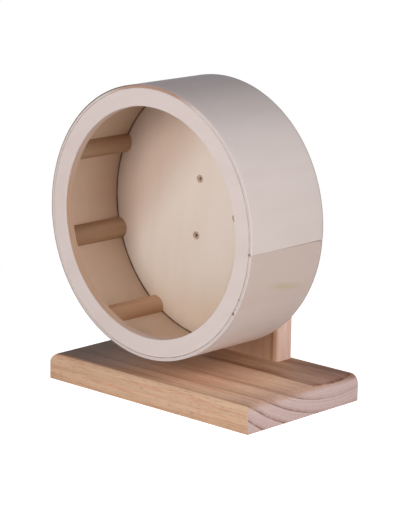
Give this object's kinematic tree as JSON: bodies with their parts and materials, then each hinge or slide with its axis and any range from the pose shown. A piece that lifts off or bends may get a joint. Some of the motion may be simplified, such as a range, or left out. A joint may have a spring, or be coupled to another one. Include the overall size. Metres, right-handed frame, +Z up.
{
  "type": "rodent exercise wheel",
  "caption": "Wooden running wheel for a small rodent: an open plywood drum with rungs inside, turning on ball bearings in front of a post on a board.",
  "frame": {"origin": "the middle of the base board's underside", "axes": "+Z up, +Y from the drum's open front to the post along the drum's axis, +X to the right as seen from the open front"},
  "size_m": [0.201, 0.1329, 0.235],
  "materials": {
    "base_pine": "planed pine, unfinished",
    "post_pine": "planed pine, unfinished",
    "skin_plywood": "thin bent plywood, sanded",
    "ring_plywood": "plywood, sanded",
    "disc_plywood": "plywood, sanded",
    "rung_pine": "half-round moulding, unfinished",
    "hub_beech": "turned beech, unfinished",
    "zinc_steel": "zinc plated",
    "screw_steel": "bronze plated",
    "bearing_steel": "ground",
    "shield_steel": "pressed",
    "cage_nylon": "moulded",
    "insert_nylon": "moulded"
  },
  "bodies": {
    "stand": {"base_board": "base_pine", "post": "post_pine", "post_screws": "screw_steel", "axle_bolt": "zinc_steel", "front_washer": "zinc_steel", "inner_spacer": "zinc_steel", "axle_spacer": "zinc_steel", "rear_washer": "zinc_steel", "axle_nut": "zinc_steel", "nut_insert": "insert_nylon", "front_bearing_inner_race": "bearing_steel", "rear_bearing_inner_race": "bearing_steel"},
    "wheel": {"drum_skin": "skin_plywood", "front_ring": "ring_plywood", "back_disc": "disc_plywood", "hub_block": "hub_beech", "hub_screws": "screw_steel", "rung_1": "rung_pine", "rung_2": "rung_pine", "rung_3": "rung_pine", "rung_4": "rung_pine", "rung_5": "rung_pine", "rung_6": "rung_pine", "rung_7": "rung_pine", "rung_8": "rung_pine", "rung_9": "rung_pine", "front_bearing_outer_race": "bearing_steel", "front_bearing_shields": "shield_steel", "rear_bearing_outer_race": "bearing_steel", "rear_bearing_shields": "shield_steel"},
    "front_cage": {"front_bearing_cage": "cage_nylon", "front_bearing_balls": "bearing_steel"},
    "rear_cage": {"rear_bearing_cage": "cage_nylon", "rear_bearing_balls": "bearing_steel"}
  },
  "joints": [
    {"name": "wheel_spin", "type": "hinge", "parent": "stand", "child": "wheel", "pos_m": [0, 0, 0.135], "axis": [0, 1, 0], "continuous": true},
    {"name": "front_cage_orbit", "type": "hinge", "parent": "stand", "child": "front_cage", "pos_m": [0, 0, 0.135], "axis": [0, 1, 0], "continuous": true},
    {"name": "rear_cage_orbit", "type": "hinge", "parent": "stand", "child": "rear_cage", "pos_m": [0, 0, 0.135], "axis": [0, 1, 0], "continuous": true}
  ],
  "couplings": [
    {"joint": "front_cage_orbit", "follows": "wheel_spin", "ratio": 0.6323},
    {"joint": "rear_cage_orbit", "follows": "wheel_spin", "ratio": 0.6323}
  ]
}
